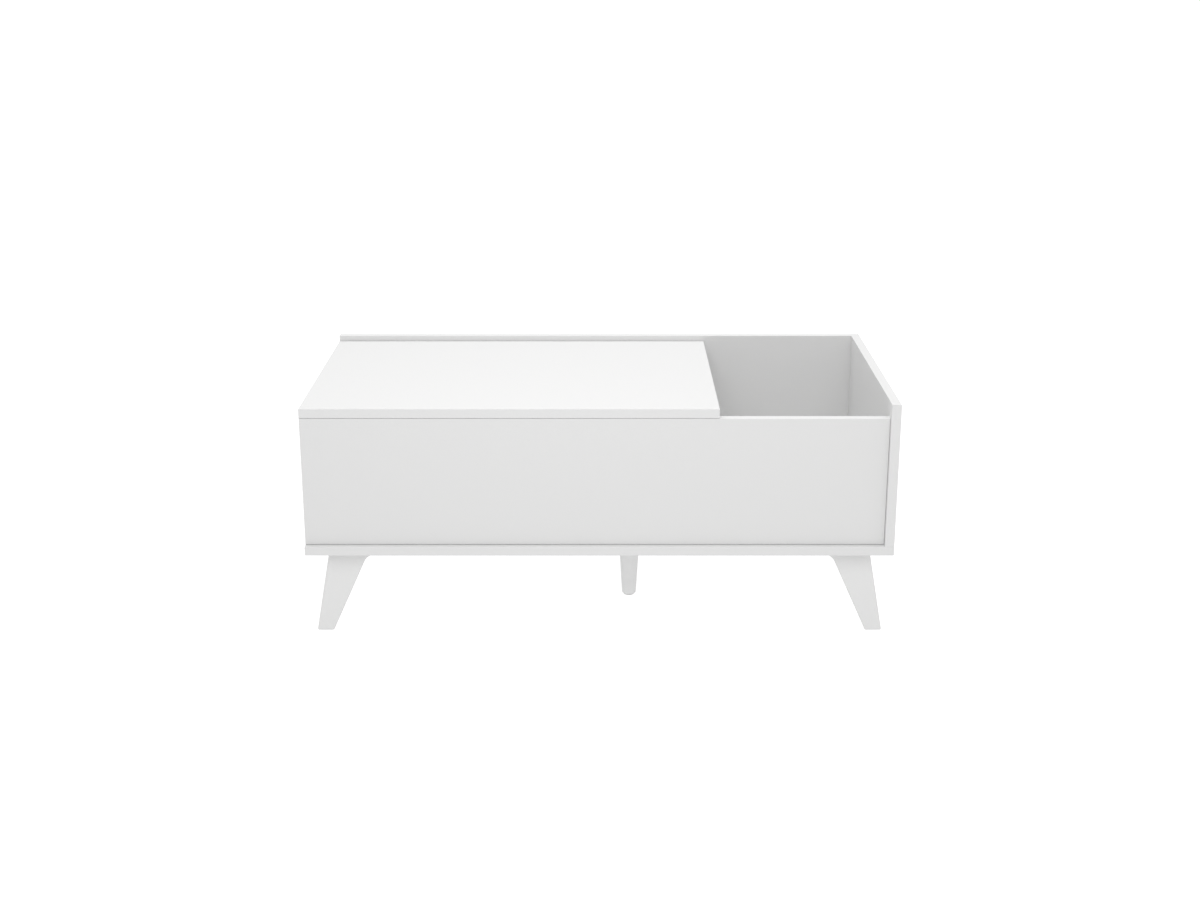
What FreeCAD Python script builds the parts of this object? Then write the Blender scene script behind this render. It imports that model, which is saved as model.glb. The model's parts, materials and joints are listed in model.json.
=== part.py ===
"""Lift top coffee table: a chipboard carcase on splayed legs, a lift top carried by two
parallel-arm steel mechanisms over a storage box, and an open magazine compartment beside it.

Frame: millimetres, +X to the right, +Y to the back, +Z up, origin on the floor under the middle.
Every function makes one kind of sub-part, and main() writes each sub-part to its own STEP file.
"""
import FreeCAD, Part
import math
import os

Vec = FreeCAD.Vector

# ---------------------------------------------------------------- driving dimensions
WIDTH = 1000.0             # overall, left to right
DEPTH = 500.0              # overall, front to back
HEIGHT = 416.0             # floor to the top of the back and right boards
BOARD = 16.0               # melamine-faced chipboard
LEG_HEIGHT = 150.0         # floor to the underside of the base board
FASCIA_SETBACK = 10.0      # front board behind the front edge of the base board
LID_LENGTH = 700.0         # lift top, left to right
LID_DROP = 10.0            # lift top below the top of the back board
LID_GAP = 0.55             # height of the bumpers' heads, which the lift top rests on
LID_BACK_GAP = 2.0         # slot between the lift top and the back board
BAND = 1.0                 # plastic edge band
ARRIS = 0.6                # rounding of the edge bands' long arrises
SHADOW_GAP_BELOW = 0.8     # fine groove under the front board
SHADOW_GAP_BESIDE = 0.6    # and at its right end
SHADOW_GAP_DEPTH = 5.0
FIT = 0.05                 # radial clearance of a bored hole round its pin, screw or dowel
OPEN_FIT = 0.3             # radial clearance of a pivot that closes a loop of the linkage

# planes of the carcase
X_LEFT = -WIDTH / 2
X_RIGHT = WIDTH / 2
Y_FRONT = -DEPTH / 2
Y_BACK = DEPTH / 2
Z_BASE = LEG_HEIGHT
Z_FLOOR = Z_BASE + BOARD
X_LEFT_FACE = X_LEFT + BOARD
X_RIGHT_FACE = X_RIGHT - BOARD
Y_FASCIA = Y_FRONT + FASCIA_SETBACK
Y_FRONT_FACE = Y_FASCIA + BOARD
Y_BACK_FACE = Y_BACK - BOARD
Z_LID_TOP = HEIGHT - LID_DROP
Z_LID = Z_LID_TOP - BOARD
Z_RIM = Z_LID - LID_GAP
X_LID_END = X_LEFT + LID_LENGTH
X_DIVIDER_FACE = X_LID_END - BOARD
Y_LID_BACK = Y_BACK_FACE - LID_BACK_GAP

# middle planes of the upright boards
X_LEFT_MID = X_LEFT + BOARD / 2
X_RIGHT_MID = X_RIGHT - BOARD / 2
X_DIVIDER_MID = X_LID_END - BOARD / 2
Y_FASCIA_MID = Y_FASCIA + BOARD / 2
Y_BACK_MID = Y_BACK - BOARD / 2

# corner legs, given for the front right one
GLIDE_THICKNESS = 1.5
GLIDE_RADIUS = 10.0
LEG_FOOT_OUTER = 490.4     # X of the outer edge, carried down to the floor
LEG_FOOT_INNER = 462.0
LEG_OUTER_SLOPE = 0.184    # inward travel per unit of height
LEG_INNER_SLOPE = 0.455
LEG_FRONT = -223.0         # the front face is upright
LEG_REAR_FOOT = -195.0
LEG_REAR_SLOPE = 0.113
LEG_CORNER = 3.0
LEG_FOOT_ROUNDING = 1.5
LEG_FLARE_RADIUS = 21.0    # the inner face sweeps out under the flange along this arc
LEG_FLARE_END = 75.0       # degrees from upright where the sweep stops curving
FLANGE = 10.0
FLANGE_LOW = (370.0, LEG_FRONT)
FLANGE_HIGH = (482.0, -154.0)
FLANGE_CORNER = 8.0
FLANGE_SCREW_INSET = 9.0

# round support leg
CENTRE_LEG_AT = (54.0, -50.0)
CENTRE_LEG_FOOT_RADIUS = 12.5
CENTRE_LEG_TOP_RADIUS = 21.3
CENTRE_LEG_FOOT_ROUNDING = 3.0

# lift mechanism, given for the left side as (Y, Z) and layers in X inward from the board's face
ARM_LENGTH = 170.0
ARM_REST_ANGLE = 10.0      # arms point to the back, this far above level, when the top is down
FRONT_PIVOT = (-110.0, 330.0)
REAR_PIVOT = (40.0, 330.0)
ARM_RADIUS = 12.0
ARM_THICKNESS = 3.0
PLATE = 2.0
WASHER = 1.0
TAIL_LENGTH = 35.0
TAIL_ANGLE = -160.0        # direction of the spring tail, measured from the front arm
TAIL_RADIUS = 9.0
PIVOT_RADIUS = 4.0
STUD_RADIUS = 2.4
SPRING_ANCHOR = (140.0, 312.5)
SPRING_RADIUS = 7.0
SPRING_WIRE = 1.1
SPRING_OFFSET = 17.0       # spring's axis from the board's face
STOP_AT = (-149.0, 349.5)
STOP_STUD_RADIUS = 3.0
STOP_SLEEVE_RADIUS = 5.0
STOP_SLEEVE_LENGTH = 4.0
BASE_LIP = 12.0            # folded lip along the base bracket's bottom
TOP_SEAT = 30.0            # flange of the top bracket under the lift top
MIRROR_PLANE = (X_LEFT_FACE + X_DIVIDER_FACE) / 2

LAYER_PLATE = X_LEFT_FACE
LAYER_OUTER_WASHER = LAYER_PLATE + PLATE
LAYER_ARM = LAYER_OUTER_WASHER + WASHER
LAYER_INNER_WASHER = LAYER_ARM + ARM_THICKNESS
LAYER_TOP_FLANGE = LAYER_INNER_WASHER + WASHER
SPRING_X = LAYER_PLATE + SPRING_OFFSET

# joinery
CAM_RADIUS = 7.5
CAM_DEPTH = 12.5
CAM_SETBACK = 34.0         # cam's centre from the end of its board
CAM_HEIGHTS = (200.0, 325.0)
RIGHT_CAM_HEIGHTS = (220.0, 340.0)
BOLT_GRIP = 11.0           # thread of a cam bolt in the mating board
CONFIRMAT_LENGTH = 48.0
CONFIRMAT_SOCKET = 4.0      # across flats
CONFIRMAT_SOCKET_DEPTH = 3.0
DOWEL_RADIUS = 4.0
DOWEL_HALF = 11.0
RECESS_THICKNESS = 0.9      # wings of a cross recess
RECESS_DEPTH_SHARE = 0.4    # depth of a cross recess, as a share of its width
LEG_SCREW_RECESS = 4.2
BRACKET_SCREW_RECESS = 3.4


# ---------------------------------------------------------------- shape helpers
def slab(low, high):
    """Box between two corners."""
    size = high.sub(low)
    return Part.makeBox(size.x, size.y, size.z, low)


def set_along(shape, origin, axis):
    """Shape moved so that its own Z axis lies along axis at origin."""
    shape.Placement = FreeCAD.Placement(origin, FreeCAD.Rotation(Vec(0, 0, 1), axis))
    return shape


def turned(outline, origin, axis):
    """Solid of revolution of (radius, height) points, its height axis laid along axis at origin."""
    points = [Vec(0, 0, outline[0][1])]
    for radius, height in outline:
        if radius > 0:
            points.append(Vec(radius, 0, height))
    points.append(Vec(0, 0, outline[-1][1]))
    points.append(points[0])
    solid = Part.Face(Part.makePolygon(points)).revolve(Vec(), Vec(0, 0, 1), 360)
    return set_along(solid, origin, axis)


def bore(outline, origin, axis, fit=FIT, run_out=1.0):
    """Hole for a turned piece: fit wider all round, and longer at both ends."""
    wider = [(radius + fit, height) for radius, height in outline if radius > 0]
    first = (wider[0][0], wider[0][1] - run_out)
    last = (wider[-1][0], wider[-1][1] + run_out)
    return turned([first] + wider + [last], origin, axis)


def cross_head_screw(outline, origin, axis, width):
    """Turned screw with a tapering cross recess of this width in its head."""
    half = width / 2
    thin = RECESS_THICKNESS / 2
    depth = width * RECESS_DEPTH_SHARE
    wings = []
    for turn in (0, 90):
        blade = Part.makeWedge(-half, -thin, -thin, -thin, -half / 2, half, depth, thin, thin, half / 2)
        blade.rotate(Vec(), Vec(1, 0, 0), 90)
        blade.rotate(Vec(), Vec(0, 0, 1), turn)
        wings.append(set_along(blade, origin, axis))
    return turned(outline, origin, axis).cut(wings)


def socket_screw(outline, origin, axis, across_flats, depth):
    """Turned screw with a hexagon socket in its head."""
    corner = across_flats / math.sqrt(3)
    angles = [math.radians(60 * index) for index in range(7)]
    outline_points = [Vec(corner * math.cos(a), corner * math.sin(a), -depth) for a in angles]
    socket = Part.Face(Part.makePolygon(outline_points)).extrude(Vec(0, 0, 2 * depth))
    return turned(outline, origin, axis).cut(set_along(socket, origin, axis))


def rounded_plate(points, radius, x_low, thickness):
    """Plate in a plane of constant X, from a (Y, Z) outline whose corners are all rounded."""
    corners = [Vec(x_low, y, z) for y, z in points]
    edges = []
    starts = []
    ends = []
    count = len(corners)
    for index, corner in enumerate(corners):
        back = corners[index - 1].sub(corner).normalize()
        ahead = corners[(index + 1) % count].sub(corner).normalize()
        half = math.acos(max(-1.0, min(1.0, back.dot(ahead)))) / 2
        reach = radius / math.tan(half)
        middle = back.add(ahead).normalize()
        start = corner.add(back * reach)
        end = corner.add(ahead * reach)
        crown = corner.add(middle * (radius / math.sin(half) - radius))
        edges.append(Part.Arc(start, crown, end).toShape())
        starts.append(start)
        ends.append(end)
    for index in range(count):
        edges.append(Part.makeLine(ends[index], starts[(index + 1) % count]))
    outline = Part.Wire(Part.__sortEdges__(edges))
    return Part.Face(outline).extrude(Vec(thickness, 0, 0))


def link_plate(first, second, first_radius, second_radius, x_low, thickness):
    """Flat link in a plane of constant X: two round (Y, Z) ends and the strap between them."""
    start = Vec(x_low, first[0], first[1])
    end = Vec(x_low, second[0], second[1])
    along = end.sub(start).normalize()
    across = Vec(0, -along.z, along.y)
    corners = [start + across * first_radius, end + across * second_radius]
    corners += [end - across * second_radius, start - across * first_radius]
    strap = Part.Face(Part.makePolygon(corners + corners[:1])).extrude(Vec(thickness, 0, 0))
    ends = [Part.makeCylinder(first_radius, thickness, start, Vec(1, 0, 0))]
    ends.append(Part.makeCylinder(second_radius, thickness, end, Vec(1, 0, 0)))
    return strap.fuse(ends).removeSplitter()


def polar(centre, radius, degrees):
    """(Y, Z) point at a radius and an angle above the +Y direction."""
    angle = math.radians(degrees)
    return (centre[0] + radius * math.cos(angle), centre[1] + radius * math.sin(angle))


def across_pair(shape):
    """Right hand copy of a left hand mechanism piece."""
    return shape.mirror(Vec(MIRROR_PLANE, 0, 0), Vec(1, 0, 0))


def write(name, shapes):
    """One node: its pieces as separate solids in one STEP file."""
    solids = [solid for shape in shapes for solid in shape.Solids]
    for solid in solids:
        if not solid.isValid():
            raise ValueError(name + " holds an invalid solid")
    shape = solids[0] if len(solids) == 1 else Part.makeCompound(solids)
    shape.exportStep(os.path.join("parts", name + ".step"))
    print(name, len(solids), "solids", round(shape.Volume / 1000, 1), "cm3")


# ---------------------------------------------------------------- boards and their edge bands
def banded_board(low, high, sides):
    """Chipboard core and its plastic edge strips.

    sides lists the banded sides in the order they are glued on, as (axis, is_high) pairs, so the
    first strips run the full length and the later ones butt between them.
    """
    whole = slab(low, high)
    size = high.sub(low)
    thin = min(range(3), key=lambda axis: size[axis])
    rounded_edges = []
    for edge in whole.Edges:
        first, second = edge.Vertexes[0].Point, edge.Vertexes[1].Point
        if abs(first[thin] - second[thin]) > BAND:
            continue
        for axis, is_high in sides:
            plane = high[axis] if is_high else low[axis]
            if abs(first[axis] - plane) < FIT and abs(second[axis] - plane) < FIT:
                rounded_edges.append(edge)
                break
    rounded = whole.makeFillet(ARRIS, rounded_edges)
    core_low = Vec(low)
    core_high = Vec(high)
    strips = []
    for axis, is_high in sides:
        strip_low = Vec(core_low)
        strip_high = Vec(core_high)
        if is_high:
            core_high[axis] = high[axis] - BAND
            strip_low[axis] = core_high[axis]
        else:
            core_low[axis] = low[axis] + BAND
            strip_high[axis] = core_low[axis]
        strips.append(rounded.common(slab(strip_low, strip_high)))
    return slab(core_low, core_high), strips


X_AXIS, Y_AXIS, Z_AXIS = range(3)
LOW, HIGH = False, True


def board_layout():
    """Every board as (low corner, high corner, banded sides)."""
    along_front = [(Y_AXIS, LOW), (Y_AXIS, HIGH)]
    ends = [(X_AXIS, LOW), (X_AXIS, HIGH)]
    return {
        "base_panel": (Vec(X_LEFT, Y_FRONT, Z_BASE), Vec(X_RIGHT, Y_BACK, Z_FLOOR),
                       along_front + ends),
        "right_side_panel": (Vec(X_RIGHT_FACE, Y_FRONT, Z_FLOOR), Vec(X_RIGHT, Y_BACK, HEIGHT),
                             along_front + [(Z_AXIS, HIGH)]),
        "back_panel": (Vec(X_LEFT, Y_BACK_FACE, Z_FLOOR), Vec(X_RIGHT_FACE, Y_BACK, HEIGHT),
                       [(Z_AXIS, HIGH), (X_AXIS, LOW)]),
        "front_panel": (Vec(X_LEFT, Y_FASCIA, Z_FLOOR), Vec(X_RIGHT_FACE, Y_FRONT_FACE, Z_RIM),
                        [(Z_AXIS, HIGH), (X_AXIS, LOW)]),
        "left_side_panel": (Vec(X_LEFT, Y_FRONT_FACE, Z_FLOOR), Vec(X_LEFT_FACE, Y_BACK_FACE, Z_RIM),
                            [(Z_AXIS, HIGH)]),
        "divider_panel": (Vec(X_DIVIDER_FACE, Y_FRONT_FACE, Z_FLOOR),
                          Vec(X_LID_END, Y_BACK_FACE, Z_RIM), [(Z_AXIS, HIGH)]),
        "lift_top_panel": (Vec(X_LEFT, Y_FASCIA, Z_LID), Vec(X_LID_END, Y_LID_BACK, Z_LID_TOP),
                           along_front + ends),
    }


# ---------------------------------------------------------------- legs
def leg_front_face(top):
    """Front outline of the right leg as a face at Y zero, flared and carried on past the flange."""
    low = GLIDE_THICKNESS
    over = top + FLANGE
    start_angle = math.atan(LEG_INNER_SLOPE)
    end_angle = math.radians(LEG_FLARE_END)

    # the arc is tangent to the inner edge and ends at the flange's underside
    centre_z = top - LEG_FLARE_RADIUS * math.sin(end_angle)
    start_z = centre_z + LEG_FLARE_RADIUS * math.sin(start_angle)
    start_x = LEG_FOOT_INNER - LEG_INNER_SLOPE * start_z
    centre_x = start_x - LEG_FLARE_RADIUS * math.cos(start_angle)

    def flare_point(angle):
        """Point of the arc where it has turned to this angle from upright."""
        return Vec(centre_x + LEG_FLARE_RADIUS * math.cos(angle), 0,
                   centre_z + LEG_FLARE_RADIUS * math.sin(angle))

    flare_start = flare_point(start_angle)
    flare_middle = flare_point((start_angle + end_angle) / 2)
    flare_end = flare_point(end_angle)
    inner_low = Vec(LEG_FOOT_INNER - LEG_INNER_SLOPE * low, 0, low)
    inner_over = Vec(flare_end.x - (over - top) * math.tan(end_angle), 0, over)
    outer_low = Vec(LEG_FOOT_OUTER - LEG_OUTER_SLOPE * low, 0, low)
    outer_over = Vec(LEG_FOOT_OUTER - LEG_OUTER_SLOPE * over, 0, over)
    edges = [
        Part.makeLine(outer_over, outer_low),
        Part.makeLine(outer_low, inner_low),
        Part.makeLine(inner_low, flare_start),
        Part.Arc(flare_start, flare_middle, flare_end).toShape(),
        Part.makeLine(flare_end, inner_over),
        Part.makeLine(inner_over, outer_over),
    ]
    return Part.Face(Part.Wire(edges))


def corner_leg():
    """Front right leg: a splayed, tapered post that flares into a screwed flange."""
    top = Z_BASE - FLANGE
    over = top + FLANGE
    front_face = leg_front_face(top)
    front_face.translate(Vec(0, LEG_FRONT, 0))
    post = front_face.extrude(Vec(0, DEPTH / 4, 0))
    side_outline = [
        Vec(0, LEG_FRONT, GLIDE_THICKNESS),
        Vec(0, LEG_REAR_FOOT + LEG_REAR_SLOPE * GLIDE_THICKNESS, GLIDE_THICKNESS),
        Vec(0, LEG_REAR_FOOT + LEG_REAR_SLOPE * over, over),
        Vec(0, LEG_FRONT, over),
    ]
    side_face = Part.Face(Part.makePolygon(side_outline + side_outline[:1]))
    post = post.common(side_face.extrude(Vec(X_RIGHT, 0, 0)))

    def is_long_edge(edge):
        """Whether an edge runs up the post, not round its foot or its far end."""
        ends = [vertex.Point for vertex in edge.Vertexes]
        return abs(ends[0].z - ends[1].z) > FLANGE / 2

    post = post.makeFillet(LEG_CORNER, [edge for edge in post.Edges if is_long_edge(edge)])
    foot_edges = [edge for edge in post.Edges if edge.BoundBox.ZMax < GLIDE_THICKNESS + FIT]
    post = post.makeFillet(LEG_FOOT_ROUNDING, foot_edges)
    post = post.common(slab(Vec(0, Y_FRONT, 0), Vec(X_RIGHT, 0, top)))

    flange = slab(Vec(FLANGE_LOW[0], FLANGE_LOW[1], top), Vec(FLANGE_HIGH[0], FLANGE_HIGH[1], Z_BASE))
    uprights = [edge for edge in flange.Edges if edge.BoundBox.ZLength > FLANGE / 2]
    flange = flange.makeFillet(FLANGE_CORNER, uprights)
    return post.fuse(flange).removeSplitter()


def leg_copies(shape):
    """The four legs, or what belongs to them, by name."""
    rear = shape.mirror(Vec(), Vec(0, 1, 0))
    return {
        "front_right_leg": shape,
        "front_left_leg": shape.mirror(Vec(), Vec(1, 0, 0)),
        "rear_right_leg": rear,
        "rear_left_leg": rear.mirror(Vec(), Vec(1, 0, 0)),
    }


LEG_SCREW_HEAD = 2.2
LEG_SCREW = [(3.9, 0.0), (3.9, 1.0), (2.6, LEG_SCREW_HEAD), (2.0, LEG_SCREW_HEAD), (2.0, 20.0),
             (0.6, 23.0)]


def leg_screw_places():
    """Under the front right leg's flange, at the three corners that the post doesn't lean over."""
    inner, outer = FLANGE_LOW[0] + FLANGE_SCREW_INSET, FLANGE_HIGH[0] - FLANGE_SCREW_INSET
    front, rear = FLANGE_LOW[1] + FLANGE_SCREW_INSET, FLANGE_HIGH[1] - FLANGE_SCREW_INSET
    head = Z_BASE - FLANGE - LEG_SCREW_HEAD
    return [Vec(inner, front, head), Vec(inner, rear, head), Vec(outer, rear, head)]


def foot_centre():
    """Middle of the front right foot."""
    return Vec((LEG_FOOT_INNER + LEG_FOOT_OUTER) / 2, (LEG_FRONT + LEG_REAR_FOOT) / 2, 0)


GLIDE = [(GLIDE_RADIUS - 0.6, 0.0), (GLIDE_RADIUS, 0.6), (GLIDE_RADIUS, GLIDE_THICKNESS),
         (1.25, GLIDE_THICKNESS), (1.25, 12.0), (0.3, 15.0)]


def centre_leg():
    """Straight round tapered leg under the base board."""
    outline = [(CENTRE_LEG_FOOT_RADIUS, GLIDE_THICKNESS), (CENTRE_LEG_TOP_RADIUS, Z_BASE)]
    leg = turned(outline, Vec(CENTRE_LEG_AT[0], CENTRE_LEG_AT[1], 0), Vec(0, 0, 1))
    rim = [edge for edge in leg.Edges if edge.BoundBox.ZMax < GLIDE_THICKNESS + FIT]
    return leg.makeFillet(CENTRE_LEG_FOOT_ROUNDING, rim)


HANGER_BOLT = [(0.8, -36.0), (4.0, -32.0), (4.0, 10.0), (2.0, 12.5)]


# ---------------------------------------------------------------- joinery
CONFIRMAT = [(5.0, 0.0), (5.0, 0.8), (3.5, 4.0), (3.5, BOARD), (2.5, BOARD), (2.5, 45.0),
             (0.8, CONFIRMAT_LENGTH)]
DOWEL = [(DOWEL_RADIUS - 0.8, -DOWEL_HALF), (DOWEL_RADIUS, -DOWEL_HALF + 1),
         (DOWEL_RADIUS, DOWEL_HALF - 1), (DOWEL_RADIUS - 0.8, DOWEL_HALF)]
CAM_BOLT = [(2.4, -3.0), (3.2, -2.2), (3.2, 0.2), (1.8, 1.4), (1.8, 5.0), (3.4, 6.5),
            (3.4, CAM_SETBACK), (2.9, CAM_SETBACK), (2.9, CAM_SETBACK + BOLT_GRIP - 1),
            (2.0, CAM_SETBACK + BOLT_GRIP)]
CAM_CAP = [(8.2, -0.6), (8.5, -0.3), (8.5, 0.0)]
BOLT_CHANNEL_RADIUS = 3.9
CAM_HOLLOW = [(4.6, 3.4), (4.6, 11.6)]
CAM_SLOT_HALF = 4.2
CAM_SLOT_HALF_WIDTH = 0.7
CAM_SLOT_DEPTH = 2.4


def base_screw_places():
    """(board, place) of every screw driven up through the base board."""
    places = []
    for y in (-200.0, 0.0, 200.0):
        places.append(("right_side_panel", Vec(X_RIGHT_MID, y, Z_BASE)))
    for y in (-150.0, 150.0):
        places.append(("left_side_panel", Vec(X_LEFT_MID, y, Z_BASE)))
        places.append(("divider_panel", Vec(X_DIVIDER_MID, y, Z_BASE)))
    for x in (-450.0, -150.0, 150.0, 440.0):
        places.append(("front_panel", Vec(x, Y_FASCIA_MID, Z_BASE)))
        places.append(("back_panel", Vec(x, Y_BACK_MID, Z_BASE)))
    return places


def dowel_places():
    """(first board, second board, place, axis) of every dowel."""
    up = Vec(0, 0, 1)
    right = Vec(1, 0, 0)
    places = []
    for y in (-100.0, 100.0):
        places.append(("base_panel", "right_side_panel", Vec(X_RIGHT_MID, y, Z_FLOOR), up))
    places.append(("base_panel", "left_side_panel", Vec(X_LEFT_MID, 0, Z_FLOOR), up))
    places.append(("base_panel", "divider_panel", Vec(X_DIVIDER_MID, 0, Z_FLOOR), up))
    for x in (-300.0, 0.0, 300.0):
        places.append(("base_panel", "front_panel", Vec(x, Y_FASCIA_MID, Z_FLOOR), up))
        places.append(("base_panel", "back_panel", Vec(x, Y_BACK_MID, Z_FLOOR), up))
    middle = (RIGHT_CAM_HEIGHTS[0] + RIGHT_CAM_HEIGHTS[1]) / 2
    places.append(("front_panel", "right_side_panel", Vec(X_RIGHT_FACE, Y_FASCIA_MID, middle), right))
    places.append(("back_panel", "right_side_panel", Vec(X_RIGHT_FACE, Y_BACK_MID, middle), right))
    return places


def cam_places():
    """(cam board, bolt board, point on the cam board's face, inward, towards the joint)."""
    front, back = Vec(0, -1, 0), Vec(0, 1, 0)
    left, right = Vec(-1, 0, 0), Vec(1, 0, 0)
    y_front = Y_FRONT_FACE + CAM_SETBACK
    y_back = Y_BACK_FACE - CAM_SETBACK
    x_cam = X_RIGHT_FACE - CAM_SETBACK
    places = []
    for z in CAM_HEIGHTS:
        for board, x, inward in (("left_side_panel", X_LEFT_FACE, left),
                                 ("divider_panel", X_DIVIDER_FACE, right)):
            places.append((board, "front_panel", Vec(x, y_front, z), inward, front))
            places.append((board, "back_panel", Vec(x, y_back, z), inward, back))
    for z in RIGHT_CAM_HEIGHTS:
        places.append(("front_panel", "right_side_panel", Vec(x_cam, Y_FRONT_FACE, z), front, right))
        places.append(("back_panel", "right_side_panel", Vec(x_cam, Y_BACK, z), front, right))
    return places


def cam_housing(face_point, inward, towards_joint):
    """Cast cam: a drum with a cross recess, a hollow for the bolt's head and a way in for it."""
    drum = turned([(CAM_RADIUS, 0), (CAM_RADIUS, CAM_DEPTH)], face_point, inward)
    hollow = turned(CAM_HOLLOW, face_point, inward)
    middle = face_point + inward * (BOARD / 2)
    channel = turned([(BOLT_CHANNEL_RADIUS, 0), (BOLT_CHANNEL_RADIUS, BOARD)], middle, towards_joint)
    slots = []
    sideways = inward.cross(towards_joint)
    for along, across in ((towards_joint, sideways), (sideways, towards_joint)):
        reach = along * CAM_SLOT_HALF
        side = across * CAM_SLOT_HALF_WIDTH
        corners = [face_point - reach - side, face_point + reach - side,
                   face_point + reach + side, face_point - reach + side]
        outline = Part.Face(Part.makePolygon(corners + corners[:1]))
        slots.append(outline.extrude(inward * CAM_SLOT_DEPTH))
    return drum.cut([hollow, channel] + slots)


def cam_drillings(face_point, inward, towards_joint):
    """Bores in the cam's own board: the drum's blind bore and the bolt's channel from the edge."""
    drum = bore([(CAM_RADIUS, 0), (CAM_RADIUS, CAM_DEPTH)], face_point, inward, FIT, 0.3)
    middle = face_point + inward * (BOARD / 2)
    radius = BOLT_CHANNEL_RADIUS
    channel = turned([(radius, 0), (radius, CAM_SETBACK + 1)], middle, towards_joint)
    return [drum, channel]


BUMPER = [(1.6, -6.0), (2.0, -5.0), (2.0, 0.0), (4.0, 0.0), (4.0, LID_GAP)]


def bumper_places():
    """(board, place) of the push-in bumpers under the corners of the lift top."""
    places = [("front_panel", Vec(x, Y_FASCIA_MID, Z_RIM)) for x in (-450.0, 150.0)]
    places.append(("left_side_panel", Vec(X_LEFT_MID, 200.0, Z_RIM)))
    places.append(("divider_panel", Vec(X_DIVIDER_MID, 200.0, Z_RIM)))
    return places


def shadow_grooves():
    """Fine grooves round the front board, where it meets the base and the right board."""
    near, far = Y_FASCIA - 1, Y_FASCIA + SHADOW_GAP_DEPTH
    left, right = X_LEFT - 1, X_RIGHT_FACE + 1
    below = slab(Vec(left, near, Z_FLOOR - 1), Vec(right, far, Z_FLOOR + SHADOW_GAP_BELOW))
    beside = slab(Vec(X_RIGHT_FACE - SHADOW_GAP_BESIDE, near, Z_FLOOR - 1), Vec(right, far, HEIGHT))
    return [below, beside]


# ---------------------------------------------------------------- lift mechanism, left side
FRONT_TOP_PIVOT = polar(FRONT_PIVOT, ARM_LENGTH, ARM_REST_ANGLE)
REAR_TOP_PIVOT = polar(REAR_PIVOT, ARM_LENGTH, ARM_REST_ANGLE)
HOOK_PIN_AT = polar(FRONT_PIVOT, TAIL_LENGTH, ARM_REST_ANGLE + TAIL_ANGLE)
INBOARD = Vec(1, 0, 0)

BRACKET_SCREW = [(3.6, 0.0), (1.75, 1.9), (1.75, 12.0), (0.5, 14.0)]
BASE_SCREWS_AT = ((-155.0, 290.5), (-30.0, 292.0), (-30.0, 336.0), (155.0, 290.5), (155.0, 336.0))
TOP_SCREWS_AT = (-135.0, -20.0, 95.0, 205.0)
TOP_SCREW_OFFSET = 16.0    # from the outboard face of the top bracket's upright flange
BASE_RIVET = [(PIVOT_RADIUS, 0.0), (PIVOT_RADIUS, 7.0), (6.5, 7.0), (6.5, 8.0), (4.5, 9.0)]
TOP_RIVET = [(4.2, -6.0), (5.5, -5.2), (5.5, -4.0), (PIVOT_RADIUS, -4.0), (PIVOT_RADIUS, 2.0),
             (5.5, 2.0), (5.5, 2.5), (4.0, 3.2)]
SPRING_STUD = [(STUD_RADIUS, -PLATE), (STUD_RADIUS, SPRING_OFFSET + 1.5 - PLATE),
               (3.6, SPRING_OFFSET + 1.5 - PLATE), (3.6, SPRING_OFFSET + 3.0 - PLATE)]
HOOK_PIN_LENGTH = SPRING_X - LAYER_INNER_WASHER + 1.5
HOOK_PIN = [(STUD_RADIUS, -ARM_THICKNESS), (STUD_RADIUS, HOOK_PIN_LENGTH),
            (3.6, HOOK_PIN_LENGTH), (3.6, HOOK_PIN_LENGTH + 1.5)]
STOP_STUD = [(STOP_STUD_RADIUS, -PLATE), (STOP_STUD_RADIUS, 4.5), (4.2, 4.5), (4.2, 5.0)]
WASHER_RING_RADIUS = 8.5


def base_bracket():
    """Steel plate screwed to the board: front ear for the stop, folded lip along the bottom."""
    outline = [(-165, 280), (165, 280), (165, 346), (-126, 346), (-136, 362), (-165, 362)]
    plate = rounded_plate(outline, 4.0, LAYER_PLATE, PLATE)
    lip = slab(Vec(LAYER_PLATE, -160, 280), Vec(LAYER_PLATE + BASE_LIP, 160, 280 + PLATE))
    plate = plate.fuse(lip).removeSplitter()
    tools = []
    for y, z in (FRONT_PIVOT, REAR_PIVOT):
        tools.append(bore(BASE_RIVET[:2], Vec(LAYER_PLATE, y, z), INBOARD))
    tools.append(bore(SPRING_STUD[:2], Vec(LAYER_OUTER_WASHER, *SPRING_ANCHOR), INBOARD))
    tools.append(bore(STOP_STUD[:2], Vec(LAYER_OUTER_WASHER, *STOP_AT), INBOARD))
    for y, z in BASE_SCREWS_AT:
        tools.append(bore(BRACKET_SCREW, Vec(LAYER_OUTER_WASHER, y, z), Vec(-1, 0, 0)))
    return plate.cut(tools)


def arm(pivot, top_pivot, top_fit, tail_end=None):
    """Flat steel arm, with a spring tail on the front one."""
    body = link_plate(pivot, top_pivot, ARM_RADIUS, ARM_RADIUS, LAYER_ARM, ARM_THICKNESS)
    tools = [bore([(PIVOT_RADIUS, 0), (PIVOT_RADIUS, ARM_THICKNESS)],
                  Vec(LAYER_ARM, *pivot), INBOARD)]
    tools.append(bore([(PIVOT_RADIUS, 0), (PIVOT_RADIUS, ARM_THICKNESS)],
                      Vec(LAYER_ARM, *top_pivot), INBOARD, top_fit))
    if tail_end:
        tail = link_plate(pivot, tail_end, ARM_RADIUS, TAIL_RADIUS, LAYER_ARM, ARM_THICKNESS)
        body = body.fuse(tail).removeSplitter()
        tools.append(bore([(STUD_RADIUS, 0), (STUD_RADIUS, ARM_THICKNESS)],
                          Vec(LAYER_ARM, *tail_end), INBOARD))
    return body.cut(tools)


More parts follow.
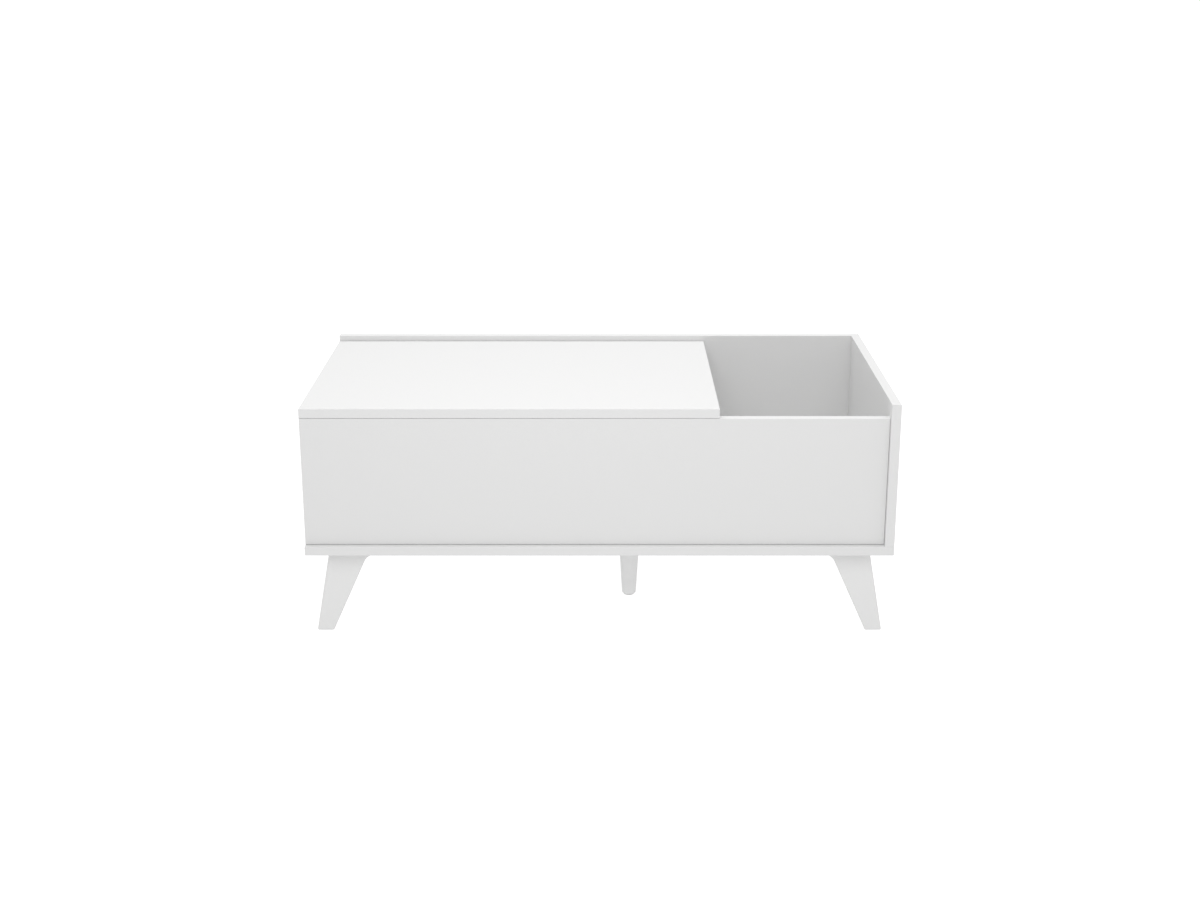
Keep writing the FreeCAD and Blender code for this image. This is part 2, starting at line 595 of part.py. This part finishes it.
def top_bracket():
    """Steel angle under the lift top: a deep cheek at the arms' ends, a narrow one in front."""
    outline = [(-150, Z_LID), (-150, 370), (32, 370), (45, 347), (222, 347), (222, Z_LID)]
    cheek = rounded_plate(outline, 3.0, LAYER_TOP_FLANGE, PLATE)
    seat = slab(Vec(LAYER_TOP_FLANGE, -150, Z_LID - PLATE),
                Vec(LAYER_TOP_FLANGE + TOP_SEAT, 222, Z_LID))
    corners = [edge for edge in seat.Edges if edge.BoundBox.ZLength > PLATE / 2
               and edge.BoundBox.XMin > LAYER_TOP_FLANGE + PLATE]
    seat = seat.makeFillet(6.0, corners)
    bracket = cheek.fuse(seat).removeSplitter()
    tools = []
    for y, z in (FRONT_TOP_PIVOT, REAR_TOP_PIVOT):
        tools.append(bore([(PIVOT_RADIUS, 0), (PIVOT_RADIUS, PLATE)],
                          Vec(LAYER_TOP_FLANGE, y, z), INBOARD))
    for y in TOP_SCREWS_AT:
        tools.append(bore(BRACKET_SCREW, top_screw_place(y), Vec(0, 0, 1)))
    return bracket.cut(tools)


def top_screw_place(y):
    """Underside of the top bracket's seat at a distance back."""
    return Vec(LAYER_TOP_FLANGE + TOP_SCREW_OFFSET, y, Z_LID - PLATE)


def washer(layer, place):
    """Nylon ring round a pivot, with a running clearance on both faces."""
    start = Vec(layer + FIT, *place)
    thickness = WASHER - 2 * FIT
    ring = Part.makeCylinder(WASHER_RING_RADIUS, thickness, start, INBOARD)
    return ring.cut(Part.makeCylinder(PIVOT_RADIUS + FIT, thickness, start, INBOARD))


def spring():
    """Outer shape of the tension spring: coil body, end wires and the loops on the two studs."""
    loop_radius = 4.5
    coil_end = 26.0
    front_stud = Vec(SPRING_X, *HOOK_PIN_AT)
    rear_stud = Vec(SPRING_X, *SPRING_ANCHOR)
    along = rear_stud.sub(front_stud)
    length = along.Length
    along.normalize()
    coil = Part.makeCylinder(SPRING_RADIUS, length - 2 * coil_end, front_stud + along * coil_end, along)
    wires = []
    loops = []
    for stud, direction in ((front_stud, along), (rear_stud, along * -1)):
        start = stud + direction * loop_radius
        wires.append(Part.makeCylinder(SPRING_WIRE, coil_end - loop_radius + 1, start, direction))
        loops.append(Part.makeTorus(loop_radius, SPRING_WIRE, stud, INBOARD))
    return coil.fuse(wires + loops)


def stop_sleeve():
    """Rubber sleeve on the stop stud."""
    start = Vec(LAYER_OUTER_WASHER + 0.5, *STOP_AT)
    sleeve = Part.makeCylinder(STOP_SLEEVE_RADIUS, STOP_SLEEVE_LENGTH, start, INBOARD)
    return sleeve.cut(Part.makeCylinder(STOP_STUD_RADIUS + FIT, STOP_SLEEVE_LENGTH, start, INBOARD))


# ---------------------------------------------------------------- the whole table
def build_boards():
    """Drill the boards, then write each one and its edge bands."""
    drillings = {}

    def drill(board, tools):
        drillings.setdefault(board, []).extend(tools)

    for board, place in base_screw_places():
        hole = bore(CONFIRMAT, place, Vec(0, 0, 1))
        drill("base_panel", [hole])
        drill(board, [hole])
    for first, second, place, axis in dowel_places():
        hole = bore(DOWEL, place, axis)
        drill(first, [hole])
        drill(second, [hole])
    for board, mate, face_point, inward, towards_joint in cam_places():
        drill(board, cam_drillings(face_point, inward, towards_joint))
        middle = face_point + inward * (BOARD / 2)
        drill(mate, [bore(CAM_BOLT[7:], middle, towards_joint)])
    for place in leg_screw_places():
        for copy in leg_copies(bore(LEG_SCREW[3:], place, Vec(0, 0, 1))).values():
            drill("base_panel", [copy])
    drill("base_panel", [bore(HANGER_BOLT[1:], Vec(*CENTRE_LEG_AT, Z_BASE), Vec(0, 0, 1))])
    for y, z in BASE_SCREWS_AT:
        hole = bore(BRACKET_SCREW, Vec(LAYER_OUTER_WASHER, y, z), Vec(-1, 0, 0))
        drill("left_side_panel", [hole])
        drill("divider_panel", [across_pair(hole)])
    for y in TOP_SCREWS_AT:
        hole = bore(BRACKET_SCREW, top_screw_place(y), Vec(0, 0, 1))
        drill("lift_top_panel", [hole, across_pair(hole)])

    bumper_holes = {}
    for board, place in bumper_places():
        bumper_holes.setdefault(board, []).append(bore(BUMPER[:3], place, Vec(0, 0, 1)))

    for name, (low, high, sides) in board_layout().items():
        core, strips = banded_board(low, high, sides)
        through_band = bumper_holes.get(name, [])
        if name == "front_panel":
            through_band = through_band + shadow_grooves()
        if through_band:
            strips = [strip.cut(through_band) for strip in strips]
        write(name, [core.cut(drillings[name] + through_band)])
        write(name.replace("panel", "edge_bands"), strips)


def build_joinery():
    """Screws, dowels and cam fittings that hold the boards together."""
    up = Vec(0, 0, 1)
    write("confirmat_screws",
          [socket_screw(CONFIRMAT, place, up, CONFIRMAT_SOCKET, CONFIRMAT_SOCKET_DEPTH)
           for _, place in base_screw_places()])
    write("wooden_dowels", [turned(DOWEL, place, axis) for _, _, place, axis in dowel_places()])
    housings = []
    bolts = []
    caps = []
    for _, _, face_point, inward, towards_joint in cam_places():
        housings.append(cam_housing(face_point, inward, towards_joint))
        bolts.append(turned(CAM_BOLT, face_point + inward * (BOARD / 2), towards_joint))
        caps.append(turned(CAM_CAP, face_point, inward))
    write("cam_housings", housings)
    write("cam_bolts", bolts)
    write("cam_cover_caps", caps)
    write("lid_bumpers", [turned(BUMPER, place, up) for _, place in bumper_places()])


def build_legs():
    """Four corner legs, the centre leg, and what fastens and shoes them."""
    up = Vec(0, 0, 1)
    screw_holes = [bore(LEG_SCREW[3:], place, up) for place in leg_screw_places()]
    nail_hole = bore(GLIDE[3:], foot_centre(), up)
    leg = corner_leg().cut(screw_holes + [nail_hole])
    for name, shape in leg_copies(leg).items():
        write(name, [shape])
    screws = Part.makeCompound([cross_head_screw(LEG_SCREW, place, up, LEG_SCREW_RECESS)
                                for place in leg_screw_places()])
    write("leg_screws", leg_copies(screws).values())

    centre_foot = Vec(*CENTRE_LEG_AT, 0)
    centre_top = Vec(*CENTRE_LEG_AT, Z_BASE)
    bolt_hole = bore(HANGER_BOLT[:3], centre_top, up)
    write("centre_leg", [centre_leg().cut([bolt_hole, bore(GLIDE[3:], centre_foot, up)])])
    write("centre_leg_bolt", [turned(HANGER_BOLT, centre_top, up)])
    glides = list(leg_copies(turned(GLIDE, foot_centre(), up)).values())
    write("foot_glides", glides + [turned(GLIDE, centre_foot, up)])


def build_mechanism():
    """Both lift mechanisms: left hand pieces and their mirror images."""
    def write_pair(name, shapes):
        write("left_" + name, shapes)
        write("right_" + name, [across_pair(shape) for shape in shapes])

    write_pair("base_bracket", [base_bracket()])
    front = arm(FRONT_PIVOT, FRONT_TOP_PIVOT, FIT, HOOK_PIN_AT)
    write("left_front_arm", [front])
    loose_front = arm(FRONT_PIVOT, FRONT_TOP_PIVOT, OPEN_FIT, HOOK_PIN_AT)
    write("right_front_arm", [across_pair(loose_front)])
    write_pair("rear_arm", [arm(REAR_PIVOT, REAR_TOP_PIVOT, OPEN_FIT)])
    write_pair("top_bracket", [top_bracket()])
    write_pair("spring", [spring()])
    write_pair("hook_pin", [turned(HOOK_PIN, Vec(LAYER_INNER_WASHER, *HOOK_PIN_AT), INBOARD)])

    def write_both(name, shapes):
        write(name, shapes + [across_pair(shape) for shape in shapes])

    pivots = (FRONT_PIVOT, REAR_PIVOT)
    top_pivots = (FRONT_TOP_PIVOT, REAR_TOP_PIVOT)
    layers = (LAYER_OUTER_WASHER, LAYER_INNER_WASHER)
    write_both("base_rivets", [turned(BASE_RIVET, Vec(LAYER_PLATE, *p), INBOARD) for p in pivots])
    write_both("base_washers", [washer(layer, p) for p in pivots for layer in layers])
    write_both("top_rivets",
               [turned(TOP_RIVET, Vec(LAYER_TOP_FLANGE, *p), INBOARD) for p in top_pivots])
    write_both("top_washers", [washer(LAYER_INNER_WASHER, p) for p in top_pivots])
    write_both("spring_studs", [turned(SPRING_STUD, Vec(LAYER_OUTER_WASHER, *SPRING_ANCHOR), INBOARD)])
    write_both("stop_studs", [turned(STOP_STUD, Vec(LAYER_OUTER_WASHER, *STOP_AT), INBOARD)])
    write_both("stop_sleeves", [stop_sleeve()])
    base_places = [Vec(LAYER_OUTER_WASHER, y, z) for y, z in BASE_SCREWS_AT]
    write_both("base_bracket_screws",
               [cross_head_screw(BRACKET_SCREW, place, Vec(-1, 0, 0), BRACKET_SCREW_RECESS)
                for place in base_places])
    write_both("top_bracket_screws",
               [cross_head_screw(BRACKET_SCREW, top_screw_place(y), Vec(0, 0, 1), BRACKET_SCREW_RECESS)
                for y in TOP_SCREWS_AT])


def main():
    os.makedirs("parts", exist_ok=True)
    build_boards()
    build_joinery()
    build_legs()
    build_mechanism()


main()
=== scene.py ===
"""Looks of the lift top coffee table: materials for every CAD node, wound springs, floor, light
and camera. Metres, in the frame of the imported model: +X right, +Y back, +Z up, floor at zero."""

import json
import math

import bpy
from mathutils import Matrix, Vector


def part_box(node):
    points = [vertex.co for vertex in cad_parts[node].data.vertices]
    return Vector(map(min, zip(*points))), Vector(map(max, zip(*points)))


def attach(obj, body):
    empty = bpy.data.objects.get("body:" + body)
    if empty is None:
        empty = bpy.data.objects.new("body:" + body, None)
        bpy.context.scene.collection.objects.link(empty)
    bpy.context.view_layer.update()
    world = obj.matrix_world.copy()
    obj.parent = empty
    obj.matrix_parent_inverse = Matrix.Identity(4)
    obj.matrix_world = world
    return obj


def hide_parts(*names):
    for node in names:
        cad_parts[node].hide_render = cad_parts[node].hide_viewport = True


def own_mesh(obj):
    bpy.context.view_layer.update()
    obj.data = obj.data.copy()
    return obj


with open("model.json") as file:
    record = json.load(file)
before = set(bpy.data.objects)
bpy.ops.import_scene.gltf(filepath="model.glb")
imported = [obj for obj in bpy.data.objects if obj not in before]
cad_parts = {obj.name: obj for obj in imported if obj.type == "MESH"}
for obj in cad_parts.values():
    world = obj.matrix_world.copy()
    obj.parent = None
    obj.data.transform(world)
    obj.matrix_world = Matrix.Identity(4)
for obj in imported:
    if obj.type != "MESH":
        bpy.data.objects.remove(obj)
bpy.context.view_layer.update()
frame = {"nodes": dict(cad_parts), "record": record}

# ---------------------------------------------------------------- driving values
CAMERA_AT = (0.001, -2.949, 1.187)
CAMERA_PITCH = 17.46           # degrees below level
CAMERA_LENS = 51.0             # mm, on a 36 mm wide sensor
STAGE_RADIUS = 50.0
WHITE = (1.0, 1.0, 1.0, 1.0)
FLOOR_GLOW = 0.82              # the floor's own light, as the camera sees it
BOUNCE_GLOW = 0.53             # the light from below, as the table gets it
DOME_GLOW = 1.1                # the background, as the camera sees it
WORLD_GLOW = 0.71              # the even light from all round
LIGHT_TARGET = Vector((0.0, 0.0, 0.3))
NOISE_LOW, NOISE_HIGH = 0.3, 0.7    # where most of a noise texture's values lie

# tension springs
SPRING_TURNS = 75
SPRING_WIRE = 0.0011           # radius of the wire
SPRING_RADIUS = 0.007          # outside of the coil
SPRING_END = 0.026             # stud to the first full turn
SPRING_TURN_POINTS = 12
LOOP_RADIUS = 0.0045           # end loops, to the middle of the wire
LOOP_SWEEP = math.radians(315)
LOOP_POINTS = 14
END_WIRE_START = 1.7 * LOOP_RADIUS    # stud to where the wire has left the loop
END_WIRE_STOP = 0.6 * SPRING_END      # stud to where the wire starts to wind out


# ---------------------------------------------------------------- node helpers
class Shader:
    """A material's node tree with short ways to add what the finishes below share."""

    def __init__(self, name, colour, roughness, metallic=0.0):
        self.material = bpy.data.materials.new(name)
        self.material.use_nodes = True
        self.nodes = self.material.node_tree.nodes
        self.links = self.material.node_tree.links
        self.surface = self.nodes["Principled BSDF"]
        self.surface.inputs["Base Color"].default_value = (*colour, 1.0)
        self.surface.inputs["Roughness"].default_value = roughness
        self.surface.inputs["Metallic"].default_value = metallic
        place = self.nodes.new("ShaderNodeTexCoord")
        self.place = place.outputs["Object"]

    def noise(self, scale, detail=2.0, roughness=0.5, stretch=(1.0, 1.0, 1.0)):
        """Noise value at so many features to the metre, stretched along the axes."""
        mapping = self.nodes.new("ShaderNodeMapping")
        mapping.inputs["Scale"].default_value = stretch
        self.links.new(self.place, mapping.inputs["Vector"])
        noise = self.nodes.new("ShaderNodeTexNoise")
        noise.inputs["Scale"].default_value = scale
        noise.inputs["Detail"].default_value = detail
        noise.inputs["Roughness"].default_value = roughness
        self.links.new(mapping.outputs["Vector"], noise.inputs["Vector"])
        return noise.outputs["Fac"]

    def cells(self, scale):
        """Distance to the nearest cell centre, for pits and grains."""
        voronoi = self.nodes.new("ShaderNodeTexVoronoi")
        voronoi.inputs["Scale"].default_value = scale
        self.links.new(self.place, voronoi.inputs["Vector"])
        return voronoi.outputs["Distance"]

    def spread(self, value, low, high):
        """Value moved from where noise mostly lies to low..high."""
        ranged = self.nodes.new("ShaderNodeMapRange")
        ranged.inputs["From Min"].default_value = NOISE_LOW
        ranged.inputs["From Max"].default_value = NOISE_HIGH
        ranged.inputs["To Min"].default_value = low
        ranged.inputs["To Max"].default_value = high
        self.links.new(value, ranged.inputs["Value"])
        return ranged.outputs["Result"]

    def tint(self, value, first, second):
        """Base colour that drifts between two colours with a noise value."""
        ramp = self.nodes.new("ShaderNodeValToRGB")
        low, high = ramp.color_ramp.elements
        low.position = NOISE_LOW
        low.color = (*first, 1.0)
        high.position = NOISE_HIGH
        high.color = (*second, 1.0)
        self.links.new(value, ramp.inputs["Fac"])
        self.links.new(ramp.outputs["Color"], self.surface.inputs["Base Color"])

    def vary_roughness(self, value, low, high):
        """Roughness that drifts with a noise value."""
        self.links.new(self.spread(value, low, high), self.surface.inputs["Roughness"])

    def bump(self, *layers):
        """Relief from (value, height in metres) layers, one on the other."""
        normal = None
        for value, height in layers:
            relief = self.nodes.new("ShaderNodeBump")
            relief.inputs["Strength"].default_value = 1.0
            relief.inputs["Distance"].default_value = height
            self.links.new(value, relief.inputs["Height"])
            if normal:
                self.links.new(normal, relief.inputs["Normal"])
            normal = relief.outputs["Normal"]
        self.links.new(normal, self.surface.inputs["Normal"])

    def set(self, **values):
        """Plain values on the surface's own sockets."""
        for socket, value in values.items():
            self.surface.inputs[socket.replace("_", " ")].default_value = value


# ---------------------------------------------------------------- materials
def melamine():
    """White melamine face: matt, with the fine pebble of its press plate."""
    shader = Shader("melamine", (0.72, 0.72, 0.718), 0.46)
    shader.tint(shader.noise(500.0, 3.0), (0.715, 0.715, 0.712), (0.725, 0.725, 0.724))
    shader.vary_roughness(shader.noise(420.0, 3.0), 0.42, 0.52)
    shader.bump((shader.noise(650.0, 2.0), 0.00004), (shader.noise(1900.0, 2.0), 0.00002))
    shader.set(Specular_IOR_Level=0.42)
    return shader.material


def edge_band():
    """White plastic edge band: a little smoother than the face."""
    shader = Shader("edge_band", (0.722, 0.722, 0.72), 0.38)
    shader.tint(shader.noise(700.0), (0.719, 0.719, 0.717), (0.725, 0.725, 0.724))
    shader.vary_roughness(shader.noise(300.0, 3.0), 0.34, 0.44)
    shader.bump((shader.noise(900.0, 2.0), 0.00002))
    return shader.material


def moulded_white(name, colour):
    """White moulded plastic with a spark-eroded grain."""
    shader = Shader(name, colour, 0.48)
    darker = tuple(channel * 0.985 for channel in colour)
    shader.tint(shader.noise(600.0, 3.0), darker, colour)
    shader.vary_roughness(shader.noise(700.0, 2.0), 0.42, 0.55)
    shader.bump((shader.noise(1400.0, 3.0, 0.6), 0.00004))
    return shader.material


def support_leg_painted_light():
    """Glossier white on the turned support leg, its colour lighter than the other legs' white:
    painted light, to make up for the shade it stands in under the table.
    """
    # painted light: a whiter base colour than the other legs get, to offset the shade under the
    # table
    shader = Shader("support_leg_painted_light", (0.86, 0.86, 0.857), 0.34)
    shader.tint(shader.noise(500.0, 2.0), (0.855, 0.855, 0.852), (0.865, 0.865, 0.863))
    shader.vary_roughness(shader.noise(260.0, 2.0), 0.28, 0.40)
    shader.bump((shader.noise(240.0, 1.0), 0.00005))
    return shader.material


def powder_coat():
    """Black powder coat with orange peel."""
    shader = Shader("powder_coat", (0.018, 0.018, 0.02), 0.42)
    shader.tint(shader.noise(60.0, 4.0), (0.014, 0.014, 0.016), (0.026, 0.026, 0.028))
    shader.vary_roughness(shader.noise(500.0, 3.0), 0.34, 0.5)
    shader.bump((shader.noise(420.0, 1.0), 0.00012), (shader.noise(2400.0, 2.0), 0.00003))
    return shader.material


def zinc_plate():
    """Bright zinc plate: metal with a cloudy sheen and fine drawing marks."""
    shader = Shader("zinc_plate", (0.62, 0.63, 0.65), 0.3, 1.0)
    shader.tint(shader.noise(160.0, 4.0, 0.6), (0.52, 0.53, 0.56), (0.70, 0.71, 0.72))
    shader.vary_roughness(shader.noise(900.0, 4.0, 0.6), 0.22, 0.42)
    shader.bump((shader.noise(1500.0, 3.0), 0.00002))
    return shader.material


def cast_alloy():
    """Die-cast zinc alloy: dull, finely pitted."""
    shader = Shader("cast_alloy", (0.46, 0.47, 0.48), 0.5, 1.0)
    shader.tint(shader.noise(220.0, 3.0), (0.40, 0.41, 0.42), (0.52, 0.53, 0.54))
    shader.vary_roughness(shader.noise(600.0, 2.0), 0.42, 0.6)
    shader.bump((shader.cells(1100.0), 0.00006))
    return shader.material


def spring_wire():
    """Oiled spring steel: dark, with drawing lines."""
    shader = Shader("spring_wire", (0.30, 0.30, 0.31), 0.32, 1.0)
    shader.tint(shader.noise(240.0, 3.0), (0.24, 0.24, 0.25), (0.38, 0.38, 0.39))
    shader.vary_roughness(shader.noise(800.0, 3.0), 0.24, 0.4)
    shader.bump((shader.noise(2600.0, 2.0), 0.00001))
    return shader.material


def nylon():
    """Natural nylon washer, a little waxy."""
    shader = Shader("nylon", (0.76, 0.75, 0.70), 0.4)
    shader.tint(shader.noise(200.0), (0.73, 0.72, 0.67), (0.78, 0.77, 0.73))
    shader.vary_roughness(shader.noise(700.0), 0.34, 0.46)
    shader.bump((shader.noise(1300.0), 0.00002))
    return shader.material


def rubber(name, dark, light, roughness):
    """Soft moulded rubber with a dusty bloom."""
    shader = Shader(name, dark, roughness)
    shader.tint(shader.noise(350.0, 4.0, 0.6), dark, light)
    shader.vary_roughness(shader.noise(900.0), roughness - 0.08, roughness + 0.08)
    shader.bump((shader.noise(1600.0, 3.0), 0.00003))
    return shader.material


def felt():
    """Pressed felt: pale grey fibres that lie flat, no gloss."""
    flat = (1.0, 1.0, 4.0)
    shader = Shader("felt", (0.5, 0.5, 0.49), 0.95)
    shader.tint(shader.noise(1800.0, 5.0, 0.7, flat), (0.40, 0.40, 0.39), (0.60, 0.60, 0.585))
    shader.bump((shader.noise(1500.0, 5.0, 0.7, flat), 0.0003))
    shader.set(Sheen_Weight=0.35)
    return shader.material


def beech():
    """Beech dowel with its grain along Z."""
    grain = (1.0, 1.0, 0.08)
    shader = Shader("beech", (0.58, 0.40, 0.25), 0.6)
    shader.tint(shader.noise(500.0, 4.0, 0.6, grain), (0.48, 0.31, 0.18), (0.66, 0.48, 0.31))
    shader.vary_roughness(shader.noise(400.0), 0.5, 0.7)
    shader.bump((shader.noise(700.0, 3.0, 0.5, grain), 0.0001))
    return shader.material


def dress(node, finish):
    """Gives a CAD node one finish all over."""
    materials = frame["nodes"][node].data.materials
    materials.clear()
    materials.append(finish)


def dress_nodes():
    """Gives every CAD node the finish of its material slot, and the support leg a lighter white,
    painted light against the shade under the table.
    """
    finishes = {
        "white_board": melamine(),
        "white_edge_band": edge_band(),
        "white_leg": moulded_white("leg_plastic", (0.772, 0.772, 0.769)),
        "cap_plastic": moulded_white("cap_plastic", (0.711, 0.711, 0.706)),
        "glide_felt": felt(),
        "bumper_rubber": rubber("bumper_rubber", (0.66, 0.66, 0.65), (0.74, 0.74, 0.73), 0.4),
        "black_rubber": rubber("black_rubber", (0.012, 0.012, 0.012), (0.03, 0.03, 0.03), 0.6),
        "bracket_steel": powder_coat(),
        "zinc_steel": zinc_plate(),
        "cast_cam": cast_alloy(),
        "spring_steel": spring_wire(),
        "nylon": nylon(),
        "beech_dowel": beech(),
    }
    for part in frame["record"]["subparts"]:
        dress(part["node"], finishes[part["material_slot"]])
    # painted light: the support leg gets a lighter white than the other legs, to offset the shade
    # under the table
    dress("centre_leg", support_leg_painted_light())
    return finishes


# ---------------------------------------------------------------- springs
def end_loop(centre, towards):
    """Points of the loop round a stud, from its free end to where it leaves along Y, towards +1 or
    -1, and of the straight wire after it."""
    points = []
    for index in range(LOOP_POINTS + 1):
        angle = LOOP_SWEEP * (1 - index / LOOP_POINTS)
        along = towards * LOOP_RADIUS * math.cos(angle)
        points.append(centre + Vector((0, along, LOOP_RADIUS * math.sin(angle))))
    for distance in (END_WIRE_START, END_WIRE_STOP):
        points.append(centre + Vector((0, towards * distance, 0)))
    return points


def coil(front, rear):
    """Points of the even turns between two studs, which stand a little apart at rest."""
    points = []
    steps = SPRING_TURNS * SPRING_TURN_POINTS
    half_turn = SPRING_TURN_POINTS // 2
    pitch = (rear.y - front.y - 2 * SPRING_END) / steps
    for step in range(-half_turn, steps + half_turn + 1):
        # half a turn at each end winds out from the axis, or back in to it
        overrun = max(0, -step, step - steps) / half_turn
        radius = (SPRING_RADIUS - SPRING_WIRE) * (1 - overrun ** 2)
        angle = math.tau * step / SPRING_TURN_POINTS
        turned = Vector((radius * math.cos(angle), 0, radius * math.sin(angle)))
        points.append(front + turned + Vector((0, SPRING_END + pitch * step, 0)))
    return points


def wound_path(front, rear):
    """Points of a tension spring's wire: loop, end wire, coil, end wire, loop."""
    return end_loop(front, 1) + coil(front, rear) + end_loop(rear, -1)[::-1]


def wire_mesh(name, points, radius):
    """Round wire on a smooth curve that the points lead, as a mesh."""
    curve = bpy.data.curves.new(name, "CURVE")
    curve.dimensions = "3D"
    curve.bevel_depth = radius
    curve.bevel_resolution = 2
    curve.resolution_u = 2
    curve.use_fill_caps = True
    spline = curve.splines.new("NURBS")
    spline.points.add(len(points) - 1)
    for control, place in zip(spline.points, points):
        control.co = (*place, 1.0)
    spline.order_u = 3
    spline.use_endpoint_u = True
    maker = bpy.data.objects.new(name + "_curve", curve)
    bpy.context.scene.collection.objects.link(maker)
    bpy.context.view_layer.update()
    evaluated = maker.evaluated_get(bpy.context.evaluated_depsgraph_get())
    mesh = bpy.data.meshes.new_from_object(evaluated)
    bpy.data.objects.remove(maker)
    mesh.name = name
    for polygon in mesh.polygons:
        polygon.use_smooth = True
    piece = bpy.data.objects.new(name, mesh)
    bpy.context.scene.collection.objects.link(piece)
    return piece


def make_spring(side, finish):
    """Real windings in place of the plain spring."""
    low, high = (Vector(corner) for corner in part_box(side + "_spring"))
    centre = (low + high) / 2
    reach = LOOP_RADIUS + SPRING_WIRE
    front = Vector((centre.x, low.y + reach, centre.z))
    rear = Vector((centre.x, high.y - reach, centre.z))
    piece = wire_mesh(side + "_spring_windings", wound_path(front, rear), SPRING_WIRE)
    piece.data.materials.append(finish)
    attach(piece, "root")
    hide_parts(side + "_spring")
    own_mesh(piece)


# ---------------------------------------------------------------- stage, light, camera
def make_disc(name, height, emission):
    """Wide pale disc that gives off an even light of its own."""
    bpy.ops.mesh.primitive_circle_add(vertices=96, radius=STAGE_RADIUS, fill_type="NGON",
                                      location=(0, 0, height))
    disc = bpy.context.object
    disc.name = name
    shader = Shader(name + "_white", (0.42, 0.42, 0.42), 0.9)
    shader.tint(shader.noise(2.0), (0.415, 0.415, 0.415), (0.425, 0.425, 0.425))
    shader.set(Emission_Color=WHITE, Emission_Strength=emission, Specular_IOR_Level=0.0)
    disc.data.materials.append(shader.material)
    return disc


def make_stage():
    """Floor, the dimmer disc under it that gives the table its light from below, and a dome.

    The camera sees only the floor and the dome, and neither lights the table: its light comes from
    the disc, the world and the softboxes.
    """
    floor = make_disc("floor", 0.0, FLOOR_GLOW)
    bounce = make_disc("floor_bounce", -0.001, BOUNCE_GLOW)
    bounce.visible_camera = False

    bpy.ops.mesh.primitive_uv_sphere_add(segments=64, ring_count=32, radius=STAGE_RADIUS)
    dome = bpy.context.object
    dome.name = "dome"
    shader = Shader("dome_white", (0.0, 0.0, 0.0), 1.0)
    shader.set(Emission_Color=WHITE, Emission_Strength=DOME_GLOW, Specular_IOR_Level=0.0)
    dome.data.materials.append(shader.material)
    for backdrop in (floor, dome):
        backdrop.visible_diffuse = False
        backdrop.visible_glossy = False
        backdrop.visible_shadow = False
        backdrop.visible_transmission = False


def make_area_light(name, place, side, energy):
    """Square softbox at a place, turned to the middle of the table and unseen by the camera."""
    light = bpy.data.lights.new(name, "AREA")
    light.shape = "SQUARE"
    light.size = side
    light.energy = energy
    lamp = bpy.data.objects.new(name, light)
    lamp.location = place
    lamp.visible_camera = False
    lamp.rotation_euler = (LIGHT_TARGET - Vector(place)).to_track_quat("-Z", "Y").to_euler()
    bpy.context.scene.collection.objects.link(lamp)
    return lamp


def make_light():
    """Even white surroundings, a softbox above and behind, and two in front, one of them near.

    Colours are shown as they are lit, with no film curve.
    """
    world = bpy.data.worlds.new("studio")
    world.use_nodes = True
    background = world.node_tree.nodes["Background"]
    background.inputs["Color"].default_value = WHITE
    background.inputs["Strength"].default_value = WORLD_GLOW
    bpy.context.scene.world = world
    make_area_light("softbox_overhead", (0.0, 0.5, 2.4), 2.8, 31.5)
    make_area_light("softbox_front", (0.0, -2.2, 1.9), 1.6, 6.2)
    near = make_area_light("softbox_near", (0.0, -1.3, 1.3), 0.8, 4.2)
    near.visible_glossy = False    # small and close, it would glare in the raised top
    bpy.context.scene.view_settings.view_transform = "Standard"


def make_camera():
    """Camera in front of the table, a little above it, looking down."""
    optics = bpy.data.cameras.new("camera")
    optics.lens = CAMERA_LENS
    optics.clip_end = 4 * STAGE_RADIUS    # well past the dome
    camera = bpy.data.objects.new("camera", optics)
    camera.location = CAMERA_AT
    camera.rotation_euler = (math.radians(90.0 - CAMERA_PITCH), 0, 0)
    bpy.context.scene.collection.objects.link(camera)
    bpy.context.scene.camera = camera


make_camera()
finishes = dress_nodes()
for side in ("left", "right"):
    make_spring(side, finishes["spring_steel"])
make_stage()
make_light()
